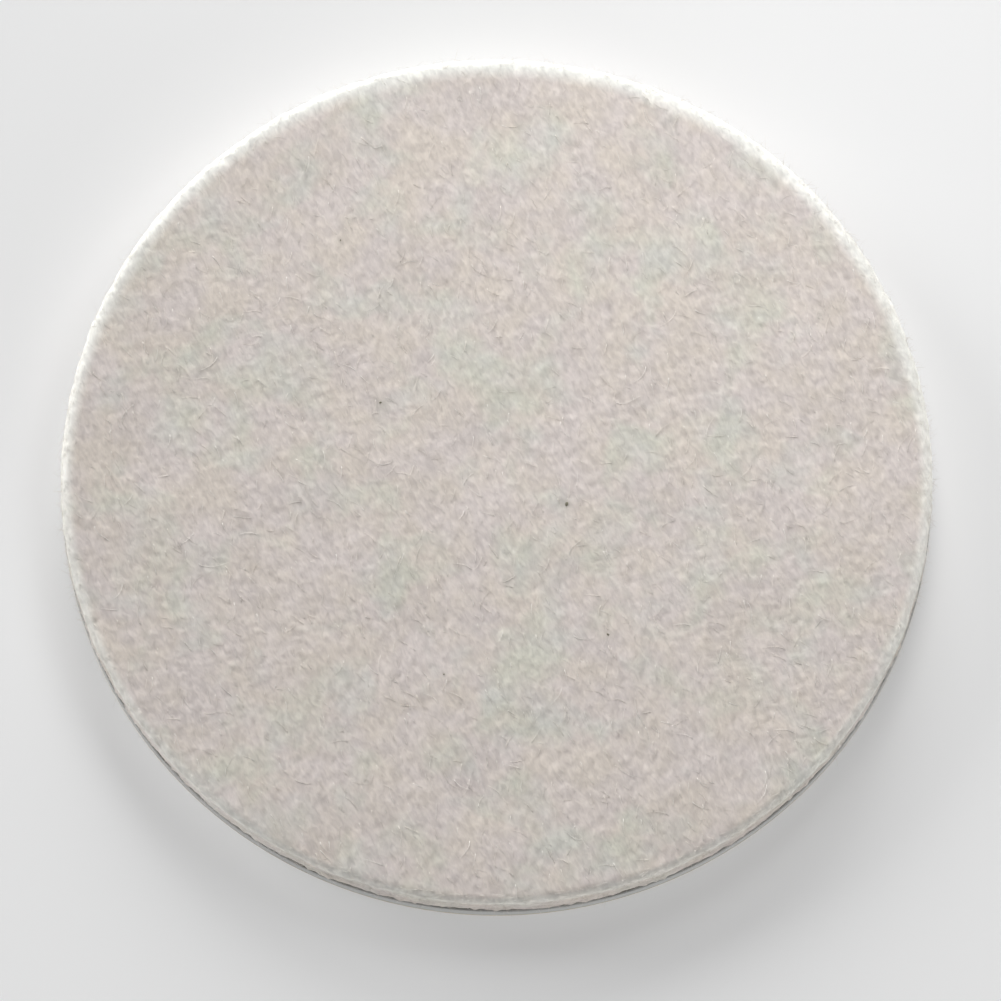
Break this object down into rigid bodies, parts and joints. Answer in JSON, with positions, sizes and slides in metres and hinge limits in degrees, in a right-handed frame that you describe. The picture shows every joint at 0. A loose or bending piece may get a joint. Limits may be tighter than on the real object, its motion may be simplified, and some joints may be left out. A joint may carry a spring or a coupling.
{
  "type": "felt polishing wheel",
  "caption": "Flat round polishing wheel: a thick wool felt disc bonded to a stiff backing disc, with a self-adhesive back under a peel-off split paper liner.",
  "frame": {"origin": "middle of the release liner's underside, which the wheel lies on", "axes": "+Z along the wheel's axis, from the liner to the felt face; the liner's slit runs along Y, with liner_right on the +X side"},
  "size_m": [0.15, 0.15, 0.01],
  "materials": {
    "felt": "matte",
    "glue": "satin",
    "backing": "satin",
    "tape_adhesive": "gloss",
    "tape_film": "gloss",
    "liner_paper": "satin"
  },
  "bodies": {
    "wheel": {"felt_disc": "felt", "laminating_glue": "glue", "backing_disc": "backing", "tape_inner_adhesive": "tape_adhesive", "tape_film": "tape_film", "tape_outer_adhesive": "tape_adhesive"},
    "liner_left": {"liner_left": "liner_paper"},
    "liner_right": {"liner_right": "liner_paper"}
  },
  "joints": [
    {"name": "peel_left", "type": "hinge", "parent": "wheel", "child": "liner_left", "pos_m": [-0.00015, 0, 0.00012], "axis": [0, -1, 0], "range_deg": [0, 85]},
    {"name": "peel_right", "type": "hinge", "parent": "wheel", "child": "liner_right", "pos_m": [0.00015, 0, 0.00012], "axis": [0, 1, 0], "range_deg": [0, 85]}
  ]
}
